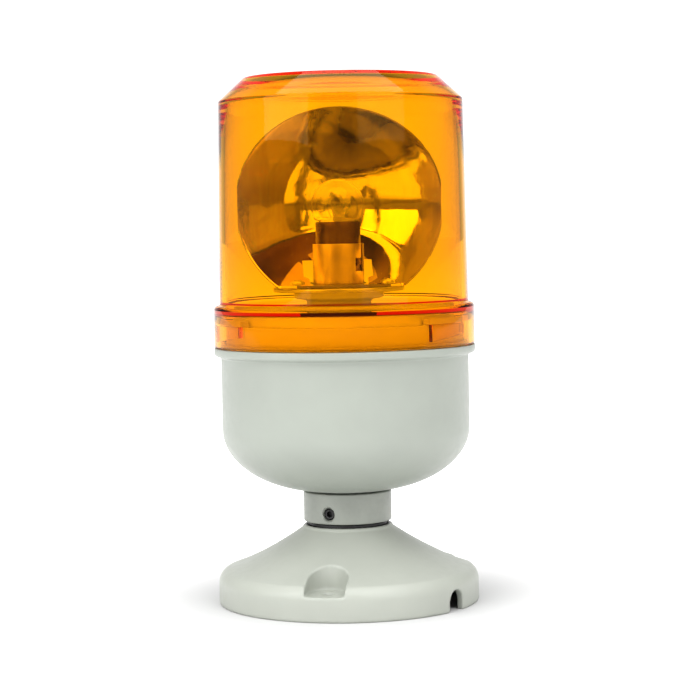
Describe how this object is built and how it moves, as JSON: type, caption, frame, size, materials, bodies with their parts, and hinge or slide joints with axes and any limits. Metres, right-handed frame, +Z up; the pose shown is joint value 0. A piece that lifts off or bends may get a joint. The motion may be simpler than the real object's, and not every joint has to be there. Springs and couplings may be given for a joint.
{
  "type": "rotating warning light",
  "caption": "Revolving amber warning light: a lamp and turning mirror under a clear amber lens, on a bowl housing with a neck and a flared screw-down base.",
  "frame": {"origin": "centre of the base's underside, on the surface the light stands on", "axes": "+Z up along the stem; the mirror's open side faces -Y at rest; +X to the right seen from the front"},
  "size_m": [0.0874, 0.0874, 0.1765],
  "materials": {
    "base_grey": "satin moulded plastic, warm light grey",
    "housing_grey": "satin moulded plastic, light greenish grey",
    "collar_grey": "satin paint, mid grey",
    "amber_lens": "clear glossy amber",
    "mirror": "vacuum-coated mirror, lightly scratched",
    "brass": "satin",
    "bulb_brass": "nickel-brushed brass",
    "steel": "plain",
    "black_steel": "black oxide",
    "zinc": "zinc plated",
    "white_nylon": "natural white",
    "black_plastic": "satin",
    "red_wire": "satin wire sleeve",
    "rubber": "matt black",
    "ferrite": "sintered, dull",
    "copper": "enamelled copper winding",
    "clear_glass": "clear",
    "tungsten": "dull grey wire"
  },
  "bodies": {
    "base": {"base_shell": "base_grey", "stem_pipe": "steel", "stem_washer": "steel", "stem_nut": "steel"},
    "head": {"neck_collar": "collar_grey", "set_screw_1": "black_steel", "set_screw_2": "black_steel", "set_screw_3": "black_steel", "neck_gasket": "rubber", "collar_nut": "zinc", "body_shell": "housing_grey", "rim_gasket": "rubber", "chassis_plate": "white_nylon", "chassis_screw_1": "zinc", "chassis_screw_2": "zinc", "chassis_screw_3": "zinc", "centre_post": "zinc", "post_nut": "zinc", "thrust_washer": "white_nylon", "gear_cover": "white_nylon", "terminal_block": "black_plastic", "terminal_screw_1": "brass", "terminal_screw_2": "brass", "lamp_lead": "red_wire", "motor_lead_1": "red_wire", "motor_lead_2": "black_plastic", "motor_can": "zinc", "motor_end_cap": "white_nylon", "motor_screw_1": "zinc", "motor_screw_2": "zinc", "motor_terminal_1": "brass", "motor_terminal_2": "brass", "motor_magnet_1": "ferrite", "motor_magnet_2": "ferrite", "idler_pin": "steel", "idler_clip": "steel", "lamp_socket": "brass", "contact_insulator": "white_nylon", "contact_spring": "steel"},
    "lens_cover": {"lens": "amber_lens"},
    "rotor": {"rotor_gear": "white_nylon", "rotor_bush": "brass", "turntable_plate": "zinc", "turntable_screw_1": "zinc", "turntable_screw_2": "zinc", "reflector": "mirror", "reflector_screw_1": "zinc", "reflector_screw_2": "zinc"},
    "idler": {"idler_gear": "white_nylon"},
    "motor_rotor": {"motor_shaft": "steel", "motor_armature": "copper", "motor_pinion": "brass"},
    "lamp": {"bulb_cap": "bulb_brass", "bulb_contact": "zinc", "bulb_glass": "clear_glass", "bulb_stem": "clear_glass", "bulb_filament": "tungsten", "contact_plunger": "brass"}
  },
  "joints": [
    {"name": "head_swivel", "type": "hinge", "parent": "base", "child": "head", "pos_m": [0, 0, 0.0306], "axis": [0, 0, 1], "range_deg": [-180, 180]},
    {"name": "lens_twist", "type": "hinge", "parent": "head", "child": "lens_cover", "pos_m": [0, 0, 0.0905], "axis": [0, 0, 1], "range_deg": [0, 26]},
    {"name": "reflector_spin", "type": "hinge", "parent": "head", "child": "rotor", "pos_m": [-0.0016, 0, 0.093], "axis": [0, 0, 1], "continuous": true},
    {"name": "idler_spin", "type": "hinge", "parent": "head", "child": "idler", "pos_m": [0.0092, 0.01871, 0.085], "axis": [0, 0, 1], "continuous": true},
    {"name": "motor_spin", "type": "hinge", "parent": "head", "child": "motor_rotor", "pos_m": [-0.00234, 0.02199, 0.066], "axis": [0, 0, 1], "continuous": true},
    {"name": "bulb_push", "type": "slide", "parent": "head", "child": "lamp", "axis": [0, 0, -1], "range_m": [0, 0.0015], "stiffness_N_per_m": 1500, "springref_m": -0.002, "deforming": ["contact_spring"]}
  ],
  "couplings": [
    {"joint": "idler_spin", "follows": "reflector_spin", "ratio": -5},
    {"joint": "motor_spin", "follows": "reflector_spin", "ratio": 15}
  ]
}
